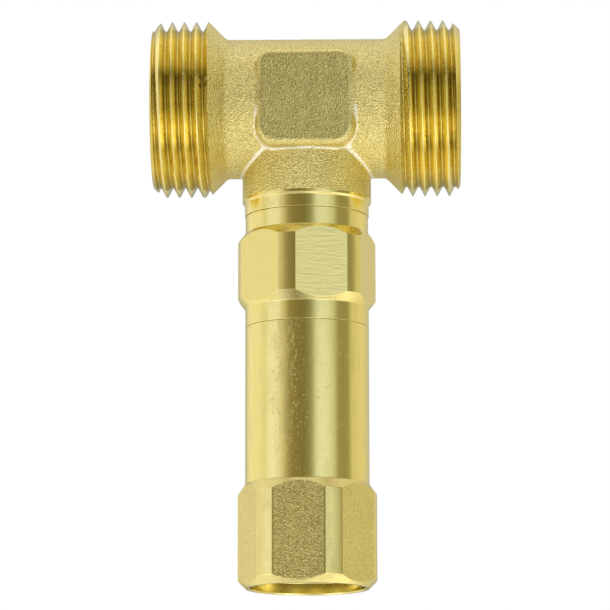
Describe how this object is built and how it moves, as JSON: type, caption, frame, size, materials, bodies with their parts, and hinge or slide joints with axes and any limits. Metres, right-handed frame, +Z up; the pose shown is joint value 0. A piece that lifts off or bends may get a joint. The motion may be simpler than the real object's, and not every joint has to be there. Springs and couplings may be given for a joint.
{
  "type": "hose splitter",
  "caption": "Brass tee hose splitter: threaded male outlets on a cross run, a long stem with wrench hexagons, a threaded female inlet and spring-loaded check valves inside.",
  "frame": {"origin": "centre of the inlet mouth, on the bottom face of the inlet socket", "axes": "+Z up the stem from the inlet to the run, +X along the run of the tee, -Y out of the tee's front pad"},
  "size_m": [0.058, 0.0332, 0.1079],
  "materials": {
    "forged_brass": "blasted forging with turned threads and bores",
    "turned_brass": "turned and milled bright",
    "socket_brass": "turned sleeve, blasted wrench flats",
    "white_plastic": "moulded",
    "blue_plastic": "moulded",
    "black_rubber": "moulded rubber",
    "stainless_steel": "drawn wire and sheet"
  },
  "bodies": {
    "fitting": {"tee_body": "forged_brass", "hex_union": "turned_brass", "inlet_socket": "socket_brass", "tee_joint_o_ring": "black_rubber", "socket_joint_o_ring": "black_rubber", "inlet_washer": "black_rubber", "strainer_frame": "white_plastic", "strainer_mesh": "stainless_steel", "lower_check_housing": "white_plastic", "lower_check_guide": "blue_plastic", "lower_check_spring": "stainless_steel", "lower_check_o_ring": "black_rubber", "upper_check_housing": "white_plastic", "upper_check_guide": "blue_plastic", "upper_check_spring": "stainless_steel", "upper_check_o_ring": "black_rubber", "retaining_ring": "stainless_steel"},
    "lower_poppet": {"lower_check_poppet": "blue_plastic", "lower_check_seal": "black_rubber"},
    "upper_poppet": {"upper_check_poppet": "blue_plastic", "upper_check_seal": "black_rubber"}
  },
  "joints": [
    {"name": "lower_poppet_lift", "type": "slide", "parent": "fitting", "child": "lower_poppet", "axis": [0, 0, 1], "range_m": [0, 0.003], "stiffness_N_per_m": 80, "springref_m": -0.004, "deforming": ["lower_check_spring"]},
    {"name": "upper_poppet_lift", "type": "slide", "parent": "fitting", "child": "upper_poppet", "axis": [0, 0, 1], "range_m": [0, 0.003], "stiffness_N_per_m": 80, "springref_m": -0.004, "deforming": ["upper_check_spring"]}
  ]
}
